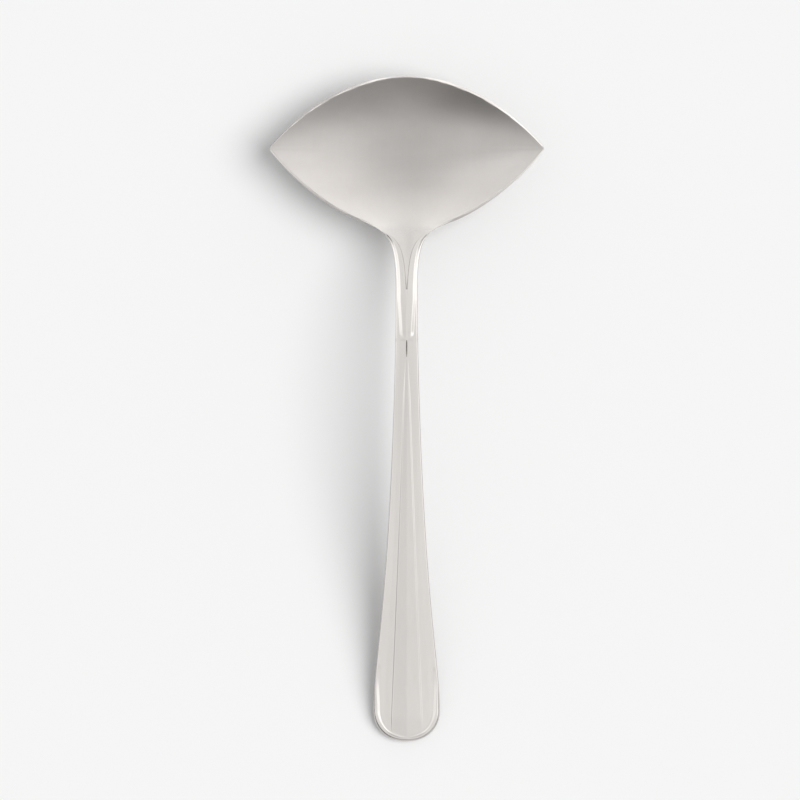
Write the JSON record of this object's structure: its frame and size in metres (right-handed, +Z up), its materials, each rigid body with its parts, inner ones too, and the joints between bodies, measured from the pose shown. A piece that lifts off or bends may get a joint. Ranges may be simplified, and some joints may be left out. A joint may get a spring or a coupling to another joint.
{
  "type": "sauce ladle",
  "caption": "Sauce ladle with a shallow double-lipped bowl, a forked neck and a flat arched handle with a raised panel, lying on its back.",
  "frame": {"origin": "centre of the small flat under the bowl, on the table that the ladle lies on", "axes": "+Y towards the bowl's front edge, the handle along -Y, +X across the lips, +Z up out of the bowl"},
  "size_m": [0.074, 0.18, 0.0216],
  "materials": {
    "satin_steel": "satin inside the bowl, polished rim and outside",
    "polished_steel": "polished"
  },
  "bodies": {
    "root": {"bowl": "satin_steel", "handle": "polished_steel"}
  },
  "joints": []
}
